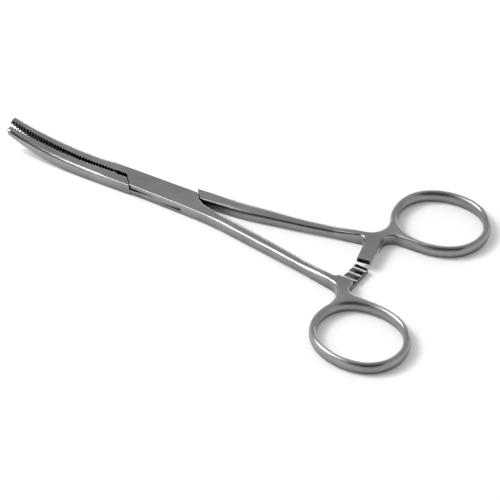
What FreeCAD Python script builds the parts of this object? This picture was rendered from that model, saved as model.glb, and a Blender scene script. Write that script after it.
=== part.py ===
# Curved artery forceps with a box lock, ring handles and a ratchet.
# Millimetres. The origin is on the joint pin's axis, on the surface that the box rests on.
# +X runs towards the finger rings, -X towards the jaw tips, +Z is up.
# Each half is one forging. It is drawn in the closed position and then turned to the rest opening.

import FreeCAD, Part
import math
import os

os.makedirs("parts", exist_ok=True)
V = FreeCAD.Vector
UP = V(0, 0, 1)
CENTRE = V(0, 0, 0)

# Opening, in degrees between the halves, counted from closed jaws
rest_opening = 2.6

# Box lock
box_height = 4.2
box_wall = 1.35               # upper and lower wall of the box
box_front_half_width = 3.75
box_rear_half_width = 4.05
box_side_bend = 300.0
front_inner = 13.1            # front shoulder's distance from the pin, at its inner end
front_outer = 9.7             # the same at the side of the box
shoulder_offset = 0.5         # inner ends of the shoulders, off the middle
box_middle = 3.2              # where the jaw's share of the box meets the shank's
rear_outer = 11.25            # rear shoulder's distance from the pin, at the side of the box
rear_inner = 14.36
rear_inner_offset = 0.17
rear_round = 9.0
column_outer = 9.5            # where the slot ends at the side of the box
column_outer_offset = 3.9
column_inner = 14.2
column_inner_offset = 1.0
shoulder_gap = 0.12           # between the shoulders of the closed halves
tongue_gap = 0.05             # above and below the tongue
column_gap = 0.12             # between the tongue and the columns at the slot's ends
tongue_inset = 0.1            # of the tongue's sides from the sides of the box
tongue_tuck = 0.3             # the tongue runs on this far into jaw and shank
tongue_rise = 1.15            # how far the rear shoulder stands out from the box
tongue_relief = 0.45          # ground off above the tongue where it leaves the box
tongue_relief_width = 0.7
pin_radius = 1.3
pin_gap = 0.05                # between the pin and the tongue's bore

# Jaws
jaw_length = 56.6             # pin to tip of the tongue half, at the underside
jaw_tip_slant = 0.5           # how much less at the top
box_jaw_longer = 0.8          # how much further the box half's jaw reaches
top_bend_start = 24.6
top_bend_radius = 106.0
top_bend_angle = 18.0
under_bend_start = 27.0
under_bend_radius = 66.0
under_bend_angle = 25.5
jaw_belly_place = 33.0        # the jaw's outer side turns here
jaw_belly_half_width = 3.3
jaw_belly_radius = 1200.0
jaw_taper = 0.047             # how much narrower for each millimetre past the belly
jaw_root_round = 0.4
jaw_tip_round = 1.1           # both at most a share of the tip's thickness
jaw_under_round = 0.7
box_jaw_nose = 2.2            # rounding of the tip's outer corner, seen from above
tongue_jaw_nose = 1.7
jaw_tip_share = 0.5
jaw_under_share = 0.33
tooth_pitch = 1.1
tooth_depth = 0.5
tooth_crest = 0.14
teeth_start = 17.0            # distance of the first groove from the pin
jaw_relief = 0.2              # the jaws meet at the tips first
jaw_gap = 0.1                 # between meshed teeth of the closed jaws

# Shanks
shank_start = 9.0             # where the side view starts to taper
waist_place = 48.0            # where both halves take the same outline
waist_inner = 4.95
waist_outer = 8.34
waist_bend = 100.0
thin_place = 57.0
thin_height = 3.0
neck_place = 66.0
thin_bend = 60.0
shank_bend = 100.0
neck_bend = 20.0
box_shank_place = 20.0        # bends of the box half's shank
box_shank_outer = 4.15
tongue_shank_place = 27.0     # bends of the tongue half's shank
tongue_shank_outer = 5.95
tongue_shank_bend = 80.0
tongue_inner_place = 29.0
tongue_inner_offset = 2.0
tongue_inner_bend = 60.0
tongue_inner_start = 1.2
tongue_inner_round = 1.5
tongue_corner_round = 0.5
shank_root_round = 0.4
shank_end_round = 1.1
shank_under_round = 0.5
shank_inner_round = 0.5

# Finger rings
ring_centre_x = 87.1
ring_centre_y = 27.0
ring_half_length = 15.1       # to the middle of the wire
ring_half_width = 12.74
ring_end_radius = 12.16
ring_tilt = 4.6
ring_wire_width = 2.54
ring_wire_height = 4.4
ring_wire_crown = 0.95
web_start = 197.0             # degrees round the ring
web_end = 261.0
neck_corner = 73.6
neck_inner = 13.35
neck_inner_round = 3.8
neck_outer = 12.3
neck_outer_round = 6.0

# Ratchet
bar_place = 73.0              # distance of the bar's end from the pin
bar_end_width = 4.5
bar_root_width = 5.0
bar_root = 8.9
bar_lean = 1.1
bar_reach = 1.25              # past the middle of the closed forceps
bar_slant = 0.27
crotch_round = 2.2
ratchet_start = 0.32          # the first locking face
ratchet_pitch = 2.62
ratchet_teeth = 3
ratchet_depth = 0.55
ratchet_face_lean = 0.1
ratchet_root = 7.85           # full thickness begins
ratchet_gap = 0.1             # between the two rows of teeth
ratchet_middle = 2.35

tip_overrun = 2.0             # outline drawn past the tip
OVER = 14.0
UNDER = -6.0
SIDE = 40.0


def rounded(corners, place):
    """A closed wire through corners (a, b, radius). place turns two numbers into a point."""
    count = len(corners)
    joints = []
    for i in range(count):
        a, b, radius = corners[i]
        here = V(a, b, 0)
        back = V(corners[i - 1][0], corners[i - 1][1], 0) - here
        ahead = V(corners[(i + 1) % count][0], corners[(i + 1) % count][1], 0) - here
        if radius == 0:
            joints.append((here, here, here))
            continue
        half = back.getAngle(ahead) / 2
        reach = radius / math.tan(half)
        back.normalize()
        ahead.normalize()
        inward = back + ahead
        inward.normalize()
        centre = here + inward * (radius / math.sin(half))
        joints.append((here + back * reach, centre - inward * radius, here + ahead * reach))
    edges = []
    for i in range(count):
        start, middle, end = [place(p.x, p.y) for p in joints[i]]
        if not start.isEqual(end, 1e-7):
            edges.append(Part.Arc(start, middle, end).toShape())
        following = place(joints[(i + 1) % count][0].x, joints[(i + 1) % count][0].y)
        if not end.isEqual(following, 1e-7):
            edges.append(Part.LineSegment(end, following).toShape())
    return Part.Wire(edges)


def plate(corners, low=UNDER, high=OVER):
    """A plate of the given outline, seen from above."""
    face = Part.Face(rounded(corners, lambda a, b: V(a, b, low)))
    return face.extrude(V(0, 0, high - low))


def slab(corners):
    """A slab of the given outline, seen from the side."""
    face = Part.Face(rounded(corners, lambda a, b: V(a, -SIDE, b)))
    return face.extrude(V(0, 2 * SIDE, 0))


def flip(corners):
    """The same outline on the other side of the middle plane."""
    return [(x, -y, radius) for x, y, radius in corners]


def mirrored(shape):
    return shape.mirror(CENTRE, V(0, 1, 0))


def bore(radius):
    return Part.makeCylinder(radius, OVER - UNDER, V(0, 0, UNDER))


def rim(shape, spot):
    """The edge of shape that passes closest to the spot."""
    point = Part.Vertex(V(*spot))
    return min(shape.Edges, key=lambda edge: edge.distToShape(point)[0])


def eased(shape, spots, start, end):
    """Rounds the rims nearest to the spots, and all that run on from them, from start to end."""
    return shape.makeFillet(start, end, [rim(shape, spot) for spot in spots])


def nosed(shape, before, corner, after, radius):
    """Rounds the upright corner of a plate, seen from above, between its neighbours."""
    back = (before - corner).normalize()
    ahead = (after - corner).normalize()
    half = back.getAngle(ahead) / 2
    inward = (back + ahead).normalize()
    reach = radius / math.tan(half)
    ends = [corner + back * reach, corner - inward * radius, corner + ahead * reach]
    centre = corner + inward * (radius / math.sin(half))
    nose = Part.makeCylinder(radius, OVER - UNDER, V(centre.x, centre.y, UNDER))
    return shape.cut(plate([(p.x, p.y, 0) for p in ends]).cut(nose))


# Side view of both halves
def bend(start, radius, angle, height):
    """Bent edge of a jaw: its end past the tip, its corner, and its height at any x up to there."""
    corner = -(start + radius * math.tan(math.radians(angle / 2)))
    slope = math.tan(math.radians(angle))
    arc_end = start + radius * math.sin(math.radians(angle))
    end = -max(jaw_length, arc_end) - tip_overrun

    def level(x):
        if -x < start:
            return height
        if -x > arc_end:
            return height + (corner - x) * slope
        return height + radius - math.sqrt(radius ** 2 - (-x - start) ** 2)

    return (end, level(end), 0), (corner, height, radius), level


top_end, top_corner, top_level = bend(top_bend_start, top_bend_radius, top_bend_angle, box_height)
under_end, under_corner, under_level = bend(under_bend_start, under_bend_radius, under_bend_angle, 0.0)
thin_middle = (box_height + ring_wire_height) / 4
side_view = slab([
    top_end,
    top_corner,
    (shank_start, box_height, shank_bend),
    (thin_place, thin_middle + thin_height / 2, thin_bend),
    (neck_place, ring_wire_height, neck_bend),
    (2 * neck_place, ring_wire_height, 0),
    (2 * neck_place, 0, 0),
    (neck_place, 0, neck_bend),
    (thin_place, thin_middle - thin_height / 2, thin_bend),
    (shank_start, 0, shank_bend),
    under_corner,
    under_end,
])
# Outlines seen from above, on the +Y side
crest_tip = jaw_gap / 2 - tooth_depth / 2
crest_root = crest_tip + jaw_relief
jaw_tip_half_width = jaw_belly_half_width - jaw_taper * (jaw_length + tip_overrun - jaw_belly_place)
jaw_outline = [
    (-teeth_start, crest_root, 0),
    (-jaw_length - tip_overrun, crest_tip, 0),
    (-jaw_length - tip_overrun, jaw_tip_half_width, 0),
    (-jaw_belly_place, jaw_belly_half_width, jaw_belly_radius),
    (-front_inner, box_front_half_width, box_side_bend),
    (2 * rear_outer, 2 * box_rear_half_width - box_front_half_width, 0),
    (2 * rear_outer, shoulder_offset, 0),
]


def bar_side(y, sign):
    """x of the ratchet bar's side at y; the bar leans and widens towards its root."""
    share = (y + bar_reach) / (bar_root + bar_reach)
    width = bar_end_width + (bar_root_width - bar_end_width) * share
    return bar_place - bar_lean * share + sign * width / 2


def ring_at(angle):
    """Point of the ring's middle line, for the web that joins the neck to the ring."""
    x = ring_half_length * math.cos(math.radians(angle))
    y = ring_half_width * math.sin(math.radians(angle))
    tilt = math.radians(ring_tilt)
    turned = V(x * math.cos(tilt) - y * math.sin(tilt), x * math.sin(tilt) + y * math.cos(tilt), 0)
    return turned + V(ring_centre_x, ring_centre_y, 0)


# Shank, bar and neck; the web's corners lie inside the ring's wire
web = [ring_at(web_end + (web_start - web_end) * i / 4) for i in range(5)]
handle_outline = [
    (waist_place, waist_inner, waist_bend),
    (bar_side(bar_root, -1), bar_root, crotch_round),
    (bar_side(-bar_reach, -1), -bar_reach - bar_slant, 0),
    (bar_side(-bar_reach, 1), -bar_reach + bar_slant, 0),
    (bar_side(neck_inner, 1), neck_inner, neck_inner_round),
    (web[0].x, neck_inner, 0),
] + [(p.x, p.y, 0) for p in web] + [
    (web[-1].x - ring_wire_width / 4, web[-1].y, 0),
    (neck_corner, neck_outer, neck_outer_round),
    (waist_place, waist_outer, waist_bend),
]

# Shoulder lines, and the same lines set back by the gap for the tongue half
front_run = V(front_inner - front_outer, -shoulder_offset - box_front_half_width, 0).normalize()
front_back = V(front_run.y, -front_run.x, 0)
front_end = V(-front_outer, -box_front_half_width, 0) + front_back * shoulder_gap
rear_run = V(rear_inner - rear_outer, rear_inner_offset - box_rear_half_width, 0).normalize()
rear_back = V(-rear_run.y, rear_run.x, 0)
rear_corner = V(rear_outer, box_rear_half_width, 0)
rear_end = rear_corner + rear_back * shoulder_gap

# Faces of the two columns that join the walls of the box
front_column = V(-column_outer, column_outer_offset, 0)
front_column_run = V(column_outer - front_inner, shoulder_offset - column_outer_offset, 0).normalize()
front_column_off = V(-front_column_run.y, front_column_run.x, 0) * column_gap
rear_column = V(column_outer, -column_outer_offset, 0)
rear_column_run = V(column_inner - column_outer, column_inner_offset + column_outer_offset, 0).normalize()
rear_column_off = V(-rear_column_run.y, rear_column_run.x, 0) * column_gap


def along(start, run, y):
    """Point of a shoulder line at height y in the view from above."""
    return start + run * ((y - start.y) / run.y)


def oval(half_long, half_short, end_radius):
    """The four arcs of an oval as (centre x, centre y, radius, start angle, end angle)."""
    side_radius = ((half_long - end_radius) ** 2 + half_short ** 2 - end_radius ** 2) / 2 / (half_short - end_radius)
    side_centre = side_radius - half_short
    end_centre = half_long - end_radius
    turn = math.degrees(math.atan2(side_centre, end_centre))
    return [
        (end_centre, 0.0, end_radius, -turn, turn),
        (0.0, -side_centre, side_radius, turn, 180 - turn),
        (-end_centre, 0.0, end_radius, 180 - turn, 180 + turn),
        (0.0, side_centre, side_radius, 180 + turn, 360 - turn),
    ]


def at(cx, cy, radius, angle):
    return cx + radius * math.cos(math.radians(angle)), cy + radius * math.sin(math.radians(angle))


def finger_ring():
    """Finger ring on the +Y side, an oval wire swept round an oval."""
    pieces = []
    for cx, cy, radius, start, end in oval(ring_half_length, ring_half_width, ring_end_radius):
        edges = []
        for a, b, r, low, high in oval(ring_wire_height / 2, ring_wire_width / 2, ring_wire_crown):
            points = [at(a, b, r, t) for t in (low, (low + high) / 2, high)]
            points = [V(radius + p[1], 0, ring_wire_height / 2 + p[0]) for p in points]
            edges.append(Part.Arc(*points).toShape())
        face = Part.Face(Part.Wire(Part.__sortEdges__(edges)))
        face.rotate(CENTRE, UP, start)
        piece = face.revolve(CENTRE, UP, end - start)
        piece.translate(V(cx, cy, 0))
        pieces.append(piece)
    whole = pieces[0].multiFuse(pieces[1:])
    whole.rotate(CENTRE, UP, ring_tilt)
    whole.translate(V(ring_centre_x, ring_centre_y, 0))
    return whole


def ratchet_waste():
    """What is cut away above the teeth of a bar on the +Y side, seen along the bar's width."""
    low = ratchet_middle - ratchet_gap / 2 - ratchet_depth
    points = [V(0, ratchet_root, OVER), V(0, ratchet_root, low)]
    for i in reversed(range(ratchet_teeth)):
        face_y = ratchet_start + i * ratchet_pitch
        points.append(V(0, face_y, low))
        points.append(V(0, face_y - ratchet_face_lean, low + ratchet_depth))
    points.append(V(0, -ratchet_pitch, low))
    points.append(V(0, -ratchet_pitch, OVER))
    face = Part.Face(Part.makePolygon(points + points[:1]))
    face.translate(V(bar_place - 2 * bar_end_width, 0, 0))
    return face.extrude(V(4 * bar_end_width, 0, 0))


def jaw_grooves(first):
    """V grooves on the inner side of a jaw on the +Y side, square to its curved middle line."""
    start = (top_bend_start + under_bend_start) / 2
    radius = (top_bend_radius + under_bend_radius) / 2
    turn = math.radians((top_bend_angle + under_bend_angle) / 2)
    half = (tooth_pitch - tooth_crest) / 2
    grooves = []
    place = first
    while place < jaw_length + tip_overrun:
        angle = min(max(0.0, (place - start) / radius), turn)
        straight = max(0.0, place - start - radius * turn)
        x = -min(place, start) - radius * math.sin(angle) - straight * math.cos(angle)
        z = box_height / 2 + radius * (1 - math.cos(angle)) + straight * math.sin(angle)
        share = (-x - teeth_start) / (jaw_length - teeth_start)
        crest = crest_root + (crest_tip - crest_root) * share
        outline = [V(-half, 0, -OVER), V(half, 0, -OVER), V(0, tooth_depth, -OVER), V(-half, 0, -OVER)]
        groove = Part.Face(Part.makePolygon(outline)).extrude(V(0, 0, 2 * OVER))
        mouth = Part.makeBox(2 * half, 1, 2 * OVER, V(-half, -1, -OVER))
        groove = groove.fuse(mouth)
        groove.translate(V(0, crest, 0))
        groove.rotate(CENTRE, V(0, 1, 0), math.degrees(angle))
        groove.translate(V(x, 0, z))
        grooves.append(groove)
        place += tooth_pitch
    return grooves


def eased_jaw(shape, side, length, nose):
    """Cuts the jaw on the given side to length, and rounds its outer edges and its tip."""
    top_tip = V(jaw_tip_slant - length, 0, top_level(jaw_tip_slant - length))
    under_tip = V(-length, 0, under_level(-length))
    thickness = top_tip.z - under_tip.z
    past_top = top_tip + (top_tip - under_tip).normalize() * OVER
    past_under = under_tip - (top_tip - under_tip).normalize() * OVER
    shape = shape.cut(slab([
        (past_top.x, past_top.z, 0),
        (past_under.x, past_under.z, 0),
        (top_end[0] + under_end[0], past_under.z, 0),
        (top_end[0] + under_end[0], past_top.z, 0),
    ]))
    root_x = -(teeth_start + top_bend_start) / 2
    root_y = side * (box_front_half_width + jaw_belly_half_width) / 2
    tip_y = V(0, side * jaw_tip_half_width, 0)
    upright = (top_tip + under_tip) / 2 + tip_y
    tip_round = min(jaw_tip_round, jaw_tip_share * thickness)
    under_round = min(jaw_under_round, jaw_under_share * thickness)
    shape = eased(shape, [(root_x, root_y, OVER)], tip_round, jaw_root_round)
    tip_rims = [(root_x, root_y, UNDER), top_tip + tip_y / 2, under_tip + tip_y / 2, upright]
    shape = eased(shape, tip_rims, under_round, under_round)
    belly = V(-jaw_belly_place, side * jaw_belly_half_width, 0)
    corner = V(-length, side * jaw_tip_half_width, 0)
    return nosed(shape, belly, corner, V(-length, 0, 0), nose)


def eased_shank(shape, side):
    """Rounds the edges of shank, bar and neck on the given side."""
    x = (tongue_shank_place + waist_place) / 2
    outer = side * (tongue_shank_outer + waist_outer) / 2
    inner = side * (tongue_inner_offset + waist_inner) / 2
    bar_y = bar_root / 2
    bar_x = bar_side(bar_y, 1)
    shape = eased(shape, [(x, outer, OVER)], shank_root_round, shank_end_round)
    shape = eased(shape, [(x, outer, UNDER)], shank_under_round, shank_under_round)
    for z in (OVER, UNDER):
        shape = eased(shape, [(x, inner, z)], shank_inner_round, shank_inner_round)
        shape = eased(shape, [(bar_x, side * bar_y, z)], shank_inner_round, shank_inner_round)
    return shape


def make_box_half():
    jaw = plate(jaw_outline + [(-front_inner, shoulder_offset, 0)]).common(side_view)
    jaw = eased_jaw(jaw, 1, jaw_length + box_jaw_longer, box_jaw_nose)
    jaw = jaw.cut(Part.makeBox(teeth_start, SIDE, OVER - UNDER, V(-teeth_start, shoulder_offset - SIDE, UNDER)))
    outer = along(rear_corner, rear_run, 2 * box_rear_half_width)
    inner = along(rear_corner, rear_run, 0)
    jaw = jaw.cut(plate([(outer.x, outer.y, 0), (inner.x, inner.y, 0), (SIDE, inner.y, 0), (SIDE, outer.y, 0)]))
    shank = plate([
        (-front_inner, shoulder_offset, 0),
        (-front_inner, box_middle, 0),
        (along(rear_corner, rear_run, box_middle).x, box_middle, 0),
    ] + flip([(rear_inner, -rear_inner_offset, rear_round)] + handle_outline + [
        (box_shank_place, box_shank_outer, shank_bend),
        (-front_outer, box_front_half_width, 0),
    ])).common(side_view)
    shank = eased_shank(shank, -1)
    half = jaw.multiFuse([shank, mirrored(finger_ring())])
    half = half.cut(mirrored(ratchet_waste()))
    slot = plate([
        (-front_inner, shoulder_offset, 0),
        (-front_inner, -SIDE, 0),
        (column_outer, -SIDE, 0),
        (column_outer, -column_outer_offset, 0),
        (column_inner, column_inner_offset, 0),
        (column_inner, SIDE, 0),
        (-column_outer, SIDE, 0),
        (-column_outer, column_outer_offset, 0),
    ], box_wall, box_height - box_wall)
    half = half.cut(slot)
    half = half.cut(bore(pin_radius))
    half = half.cut(jaw_grooves(teeth_start + tooth_pitch / 2))
    return half


def make_tongue_half():
    jaw = plate(jaw_outline + [(-teeth_start + tooth_pitch, shoulder_offset, 0)]).common(side_view)
    jaw = mirrored(eased_jaw(jaw, 1, jaw_length, tongue_jaw_nose))
    front = [along(front_end, front_run, box_middle), along(front_end, front_run, -SIDE)]
    behind_jaw = plate([(p.x, p.y, 0) for p in front] + [(SIDE, -SIDE, 0), (SIDE, box_middle, 0)])
    jaw = jaw.cut(behind_jaw)
    corner = along(rear_end, rear_run, box_rear_half_width + tongue_rise)
    inner = along(rear_end, rear_run, tongue_inner_start)
    shank = plate([
        (corner.x, corner.y, 0),
        (inner.x, inner.y, 0),
        (tongue_inner_place, tongue_inner_offset, tongue_inner_bend),
    ] + handle_outline + [
        (tongue_shank_place, tongue_shank_outer, tongue_shank_bend),
    ]).common(side_view)
    shank = eased_shank(shank, 1)
    shank = nosed(shank, V(tongue_shank_place, tongue_shank_outer, 0), corner, inner, tongue_corner_round)
    shank = nosed(shank, corner, inner, V(tongue_inner_place, tongue_inner_offset, 0), tongue_inner_round)
    shank = shank.fuse(finger_ring())
    waste = ratchet_waste().mirror(V(0, 0, ratchet_middle), UP)
    shank = shank.cut(waste)
    front_side = box_front_half_width - tongue_inset
    rear_side = box_rear_half_width - tongue_inset
    corners = [
        along(front_column + front_column_off, front_column_run, shoulder_offset),
        along(front_end, front_run, -shoulder_offset) + front_back * tongue_tuck,
        along(front_end, front_run, -front_side) + front_back * tongue_tuck,
        along(rear_column + rear_column_off, rear_column_run, -rear_side),
        along(rear_column + rear_column_off, rear_column_run, tongue_inner_start + tongue_tuck),
        along(rear_end, rear_run, rear_side) + rear_back * tongue_tuck,
        along(front_column + front_column_off, front_column_run, front_side),
    ]
    low = box_wall + tongue_gap
    tongue = plate([(p.x, p.y, 0) for p in corners], low, box_height - low)
    half = tongue.multiFuse([jaw, shank])
    top = box_height - low
    wedge = [V(0, 0, top), V(-2 * front_outer, 0, top), V(-2 * front_outer, 0, top - 2 * tongue_relief)]
    relief = Part.Face(Part.makePolygon(wedge + wedge[:1])).extrude(V(0, -SIDE, 0))
    relief.translate(V(0, tongue_relief_width - front_side, 0))
    half = half.cut(relief.common(behind_jaw))
    half = half.cut(bore(pin_radius + pin_gap))
    grooves = [mirrored(groove) for groove in jaw_grooves(teeth_start + tooth_pitch)]
    half = half.cut(grooves)
    return half


def save(shape, name, turn):
    shape.rotate(CENTRE, UP, turn)
    shape.exportStep("parts/" + name + ".step")


save(make_box_half(), "box_half", -rest_opening / 2)
save(make_tongue_half(), "tongue_half", rest_opening / 2)
save(Part.makeCylinder(pin_radius, box_height), "joint_pin", -rest_opening / 2)
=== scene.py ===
import math
import bpy
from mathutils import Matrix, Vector

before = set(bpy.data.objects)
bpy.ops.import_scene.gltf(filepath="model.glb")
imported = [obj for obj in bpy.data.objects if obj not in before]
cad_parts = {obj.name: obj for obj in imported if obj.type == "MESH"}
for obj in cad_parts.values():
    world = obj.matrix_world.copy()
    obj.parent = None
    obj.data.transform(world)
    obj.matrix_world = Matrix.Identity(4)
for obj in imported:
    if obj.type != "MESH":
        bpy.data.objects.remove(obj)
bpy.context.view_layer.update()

# The female half: one forging from the far jaw through the slotted box to the near shank and its
# finger ring. It is drop forged from stainless steel, milled, and then brushed along its length, so
# the faces are satin and the rounded edges, which the finishing wheel reaches best, are brighter.
near_ring = (0.0865, -0.0290, 0.0)
far_ring = (0.0865, 0.0290, 0.0)
half_slope = math.tan(math.radians(1.3))
steel_light = (0.33, 0.33, 0.33, 1)
steel_dark = (0.27, 0.27, 0.27, 1)
# Colours of painted light: near black for painted shade in the gaps and on the ratchet slopes, near
# white for a painted highlight on the ratchet's locking faces.
painted_shade_colour = (0.012, 0.011, 0.010, 1)
painted_slope_shade = (0.07, 0.07, 0.07, 1)
painted_highlight_white = (0.90, 0.90, 0.90, 1)


def feed(tree, socket, value):
    """Links an output to the socket, or sets the socket to a constant."""
    if isinstance(value, bpy.types.NodeSocket):
        tree.links.new(value, socket)
    else:
        socket.default_value = value


def calculate(tree, operation, *terms):
    node = tree.nodes.new("ShaderNodeMath")
    node.operation = operation
    for socket, term in zip(node.inputs, terms):
        feed(tree, socket, term)
    return node.outputs["Value"]


def calculate_vector(tree, operation, *terms):
    node = tree.nodes.new("ShaderNodeVectorMath")
    node.operation = operation
    for socket, term in zip(node.inputs, terms):
        feed(tree, socket, term)
    return node.outputs["Value" if operation in ("LENGTH", "DOT_PRODUCT") else "Vector"]


def product(tree, first, *others):
    for other in others:
        first = calculate(tree, "MULTIPLY", first, other)
    return first


def remap(tree, value, span, low=0, high=1):
    """Takes the value from the span to low ... high, and holds it there past both ends."""
    node = tree.nodes.new("ShaderNodeMapRange")
    names = ("Value", "From Min", "From Max", "To Min", "To Max")
    for name, amount in zip(names, (value, *span, low, high)):
        feed(tree, node.inputs[name], amount)
    return node.outputs["Result"]


def blend(tree, kind, share, first, second):
    """Mixes floats, vectors or colours. Share 0 gives the first, and share 1 the second."""
    node = tree.nodes.new("ShaderNodeMix")
    node.data_type = kind
    place = ("FLOAT", "VECTOR", "RGBA").index(kind)
    feed(tree, node.inputs[0], share)
    feed(tree, node.inputs[2 * place + 2], first)
    feed(tree, node.inputs[2 * place + 3], second)
    return node.outputs[place]


def colour_ramp(tree, value, *stops):
    """Colours the value by stops, each a position and its colour, from low to high."""
    node = tree.nodes.new("ShaderNodeValToRGB")
    elements = node.color_ramp.elements
    for place, (position, colour) in enumerate(stops):
        element = elements[place] if place < 2 else elements.new(position)
        element.position = position
        element.color = colour
    tree.links.new(value, node.inputs["Fac"])
    return node.outputs["Color"]


def separate(tree, vector):
    node = tree.nodes.new("ShaderNodeSeparateXYZ")
    tree.links.new(vector, node.inputs["Vector"])
    return node.outputs


def bevel(tree, radius, samples):
    node = tree.nodes.new("ShaderNodeBevel")
    node.samples = samples
    tree.links.new(radius, node.inputs["Radius"])
    return node.outputs["Normal"]


def openness(tree, reach):
    node = tree.nodes.new("ShaderNodeAmbientOcclusion")
    node.samples = 8
    node.inputs["Distance"].default_value = reach
    return node.outputs["AO"]


def brushed_steel(name, ring_centre, slope):
    """The steel of one half, whose middle line runs out from the pin at this slope."""
    material = bpy.data.materials.new(name)
    material.use_nodes = True
    tree = material.node_tree
    shader = tree.nodes["Principled BSDF"]
    shader.inputs["Metallic"].default_value = 1
    shader.inputs["Anisotropic"].default_value = 0.6
    shader.inputs["Anisotropic Rotation"].default_value = 0.25
    place = tree.nodes.new("ShaderNodeTexCoord").outputs["Object"]
    x, y, z = separate(tree, place)
    aside = calculate(tree, "ABSOLUTE", calculate(tree, "MULTIPLY_ADD", x, slope, y))
    own_normal = tree.nodes.new("ShaderNodeNewGeometry").outputs["Normal"]
    facing = separate(tree, own_normal)

    # Broad, faint clouds left by the forging and the polishing wheel.
    clouds = tree.nodes.new("ShaderNodeTexNoise")
    clouds.inputs["Scale"].default_value = 110
    clouds.inputs["Detail"].default_value = 4
    tree.links.new(place, clouds.inputs["Vector"])
    tone = colour_ramp(tree, clouds.outputs["Fac"], (0.35, steel_dark), (0.65, steel_light))

    # Brush lines, a sixth of a millimetre wide and finer, along the forceps and round each ring. The
    # cells of their noise are counted per metre.
    outward = calculate_vector(tree, "SUBTRACT", place, ring_centre)
    distance = calculate_vector(tree, "LENGTH", outward)
    on_ring = remap(tree, distance, (0.022, 0.017))
    cells_along = 300
    cells_across = 6000
    straight = calculate_vector(tree, "MULTIPLY", place, (cells_along, cells_across, cells_across))
    round_ring = calculate_vector(tree, "MULTIPLY", place, (cells_along, cells_along, cells_across))
    lines = tree.nodes.new("ShaderNodeTexNoise")
    lines.noise_dimensions = "4D"
    lines.inputs["Scale"].default_value = 1
    lines.inputs["Detail"].default_value = 3
    tree.links.new(blend(tree, "VECTOR", on_ring, straight, round_ring), lines.inputs["Vector"])
    tree.links.new(product(tree, distance, cells_across), lines.inputs["W"])
    brushed = lines.outputs["Fac"]

    # The wheel rounds the jaws' outer edges, the shanks and the rings off well past the forged
    # radius. The box and its corners keep fine edges.
    outer_side = remap(tree, aside, (0.0012, 0.0016))
    length = remap(tree, x, (-0.060, 0.080))
    jaws_and_shanks = ((0.24, 1), (0.34, 0), (0.53, 0), (0.60, 1), (0.86, 1), (0.91, 0))
    stops = [(spot, (level, level, level, 1)) for spot, level in jaws_and_shanks]
    slender = colour_ramp(tree, length, *stops)
    slender_radius = 0.0019
    ring_radius = 0.0013
    broad = bevel(tree, remap(tree, on_ring, (0, 1), slender_radius, ring_radius), 16)
    box_radius = 0.00015
    bar_radius = 0.00040
    fine = bevel(tree, remap(tree, x, (0.055, 0.065), box_radius, bar_radius), 8)

    # The pin's ends are ground flush, so no edge shows round them, and no painted shade is put round
    # them.
    from_pin = calculate_vector(tree, "LENGTH", calculate_vector(tree, "MULTIPLY", place, (1, 1, 0)))
    off_pin = remap(tree, from_pin, (0.0022, 0.0026))
    eased = blend(tree, "VECTOR", off_pin, own_normal, fine)
    rounded = calculate(tree, "MAXIMUM", product(tree, outer_side, slender), on_ring)
    rounding = blend(tree, "VECTOR", rounded, eased, broad)

    # Worn edges: where the fine rounding departs from the face's own normal, the steel is polished.
    wear = remap(tree, calculate_vector(tree, "DOT_PRODUCT", eased, own_normal), (1.0, 0.9))

    # Painted shade: the gaps, the corners, the grooves of the jaws and the hollows near the table are
    # darkened towards near black from ambient occlusion and a groove mask.
    gap_reach = 0.0010
    shelter_reach = 0.0045
    out_of_gaps = remap(tree, openness(tree, gap_reach), (0.40, 0.75))
    unsheltered = remap(tree, openness(tree, shelter_reach), (0.35, 0.95), 0.30)
    upright = remap(tree, facing["Z"], (0.35, 0.25))
    sunk = remap(tree, aside, (0.00005, 0.00020))
    inner_side = remap(tree, aside, (0.0008, 0.0007))
    on_jaw = remap(tree, x, (-0.010, -0.012))
    grooved = product(tree, upright, sunk, inner_side, on_jaw)
    unshaded = calculate(tree, "MULTIPLY_ADD", grooved, -0.9, product(tree, out_of_gaps, unsheltered))
    unshaded.node.use_clamp = True
    # Painted shade: where the shade mask falls, the steel's colour is painted towards near black.
    colour = blend(tree, "RGBA", blend(tree, "FLOAT", off_pin, 1, unshaded), painted_shade_colour, tone)

    # On the ratchet the locking faces get a painted highlight, near white, and the slopes get painted
    # shade, near black.
    past_shanks = remap(tree, x, (0.0680, 0.0685))
    below_flats = remap(tree, z, (0.00236, 0.00234))
    between_shanks = remap(tree, aside, (0.0085, 0.0083))
    on_teeth = product(tree, past_shanks, below_flats, between_shanks)
    slopes = product(tree, on_teeth, remap(tree, facing["Z"], (0.6, 0.8)))
    painted_highlight_faces = product(tree, on_teeth, remap(tree, facing["Y"], (-0.85, -0.95)))
    colour = blend(tree, "RGBA", slopes, colour, painted_slope_shade)
    colour = blend(tree, "RGBA", painted_highlight_faces, colour, painted_highlight_white)
    tree.links.new(colour, shader.inputs["Base Color"])

    # Satin all over, smoother on worn edges, duller on the rings and matt on the locking faces.
    rough = remap(tree, brushed, (0, 1), 0.15, 0.23)
    for where, change in ((wear, -0.04), (on_ring, 0.12), (painted_highlight_faces, 0.35)):
        rough = calculate(tree, "MULTIPLY_ADD", where, change, rough)
    tree.links.new(rough, shader.inputs["Roughness"])

    # The brush lines are a hundredth of a millimetre deep at most.
    relief = tree.nodes.new("ShaderNodeBump")
    relief.inputs["Strength"].default_value = 0.12
    relief.inputs["Distance"].default_value = 0.00001
    tree.links.new(brushed, relief.inputs["Height"])
    tree.links.new(rounding, relief.inputs["Normal"])
    tree.links.new(relief.outputs["Normal"], shader.inputs["Normal"])

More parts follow.
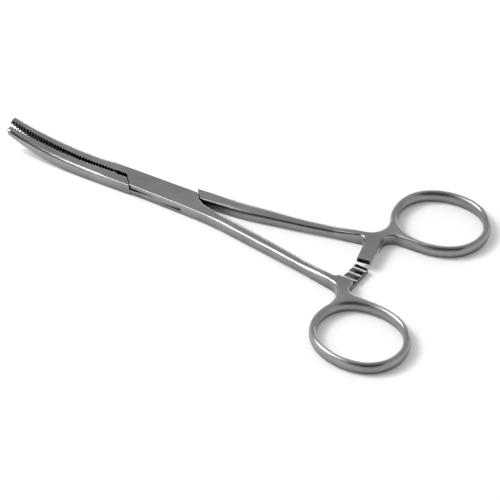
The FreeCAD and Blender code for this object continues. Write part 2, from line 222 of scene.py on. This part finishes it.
    # The blur of what the steel reflects follows the brush.
    around = calculate_vector(tree, "CROSS_PRODUCT", outward, (0, 0, 1))
    sweep = tree.nodes.new("ShaderNodeVectorTransform")
    sweep.convert_from = "OBJECT"
    sweep.convert_to = "WORLD"
    tree.links.new(blend(tree, "VECTOR", on_ring, (0.02, 0, 0), around), sweep.inputs["Vector"])
    tree.links.new(sweep.outputs["Vector"], shader.inputs["Tangent"])
    return material


box_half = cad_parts["box_half"]
box_half.material_slots[0].material = brushed_steel("box_half_steel", near_ring, half_slope)

# The male half: the near jaw, the thin tongue through the slot of the box, and the far shank with
# its ring. It comes from the same steel and the same finishing, and is closed into the box hot.
tongue_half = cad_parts["tongue_half"]
tongue_half.material_slots[0].material = brushed_steel("tongue_half_steel", far_ring, -half_slope)

# The joint pin: a short steel rivet through both walls of the box and the tongue. It is ground flush
# and brushed together with the box, so its ends carry the box's finish.
joint_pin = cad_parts["joint_pin"]
joint_pin.material_slots[0].material = box_half.material_slots[0].material

# The table: a plain white sheet that runs far past the picture. It is a matt surface that takes the
# forceps' soft shadow, lifted to white where nothing shades it.
bpy.ops.mesh.primitive_plane_add(size=8)
table = bpy.context.object
table.name = "table"
sheet = bpy.data.materials.new("white_table")
sheet.use_nodes = True
tree = sheet.node_tree
shader = tree.nodes["Principled BSDF"]
shader.inputs["Base Color"].default_value = (0.8, 0.8, 0.8, 1)
shader.inputs["Roughness"].default_value = 0.9
shader.inputs["Specular IOR Level"].default_value = 0.1
shader.inputs["Emission Color"].default_value = (1, 1, 1, 1)
ray = tree.nodes.new("ShaderNodeLightPath").outputs
looked_at = calculate(tree, "MAXIMUM", ray["Is Camera Ray"], ray["Is Glossy Ray"])
looked_at = calculate(tree, "MAXIMUM", looked_at, ray["Is Transmission Ray"])
lift = 0.18
tree.links.new(product(tree, looked_at, lift), shader.inputs["Emission Strength"])
table.data.materials.append(sheet)

# The studio: a plain grey room, a key lamp and a softbox high at the left, a low strip behind the
# table, and the dark place where the photographer stands, which the steel shows as dark bands. The
# camera sees plain white all round.
white = (1, 1, 1, 1)
warm_grey = (0.66, 0.64, 0.62, 1)
unlit = (0.035, 0.028, 0.022, 1)
world = bpy.data.worlds.new("studio")
bpy.context.scene.world = world
world.use_nodes = True
tree = world.node_tree
direction = tree.nodes.new("ShaderNodeTexCoord").outputs["Generated"]
room = colour_ramp(tree, separate(tree, direction)["Z"], (0.0, white), (0.35, warm_grey))
photographer = Vector((0.36, -0.74, 0.57)).normalized()
shade = remap(tree, calculate_vector(tree, "DOT_PRODUCT", direction, photographer), (0.70, 0.86))
shade.node.interpolation_type = "SMOOTHSTEP"
dimmed = blend(tree, "RGBA", shade, room, unlit)
to_camera = tree.nodes.new("ShaderNodeLightPath").outputs["Is Camera Ray"]
tree.links.new(blend(tree, "RGBA", to_camera, dimmed, white), tree.nodes["Background"].inputs["Color"])


def soft_lamp(name, towards, away, width, height, power):
    lamp = bpy.data.lights.new(name, "AREA")
    lamp.color = (0.92, 0.96, 1.0)
    lamp.shape = "RECTANGLE"
    lamp.size = width
    lamp.size_y = height
    lamp.energy = power
    piece = bpy.data.objects.new(name, lamp)
    bpy.context.scene.collection.objects.link(piece)
    back = Vector(towards).normalized()
    forceps_middle = Vector((0.02, 0, 0))
    piece.location = forceps_middle + back * away
    piece.rotation_mode = "QUATERNION"
    piece.rotation_quaternion = back.to_track_quat("Z", "Y")
    piece.visible_camera = False


soft_lamp("key_lamp", (-0.62, -0.12, 0.77), 1.0, 0.24, 0.24, 4)
soft_lamp("softbox", (-0.56, -0.35, 0.75), 1.0, 0.42, 0.80, 5.5)
soft_lamp("far_strip", (-0.25, 0.95, 0.16), 1.2, 1.6, 0.30, 5)

# The camera: a long lens above the near side, at the photograph's angle.
lens = bpy.data.cameras.new("camera")
lens.lens = 228.8
lens.sensor_width = 36
lens.clip_start = 0.01
lens.clip_end = 50
camera = bpy.data.objects.new("camera", lens)
bpy.context.scene.collection.objects.link(camera)
bpy.context.scene.camera = camera
azimuth = math.radians(27.93)
elevation = math.radians(43.47)
target = Vector((0.0371, -0.0085, 0.0))
away = 1.0145
back = Vector((math.sin(azimuth) * math.cos(elevation),
               -math.cos(azimuth) * math.cos(elevation),
               math.sin(elevation)))
camera.location = target + back * away
camera.rotation_mode = "QUATERNION"
camera.rotation_quaternion = back.to_track_quat("Z", "Y")
bpy.context.scene.view_settings.view_transform = "Standard"
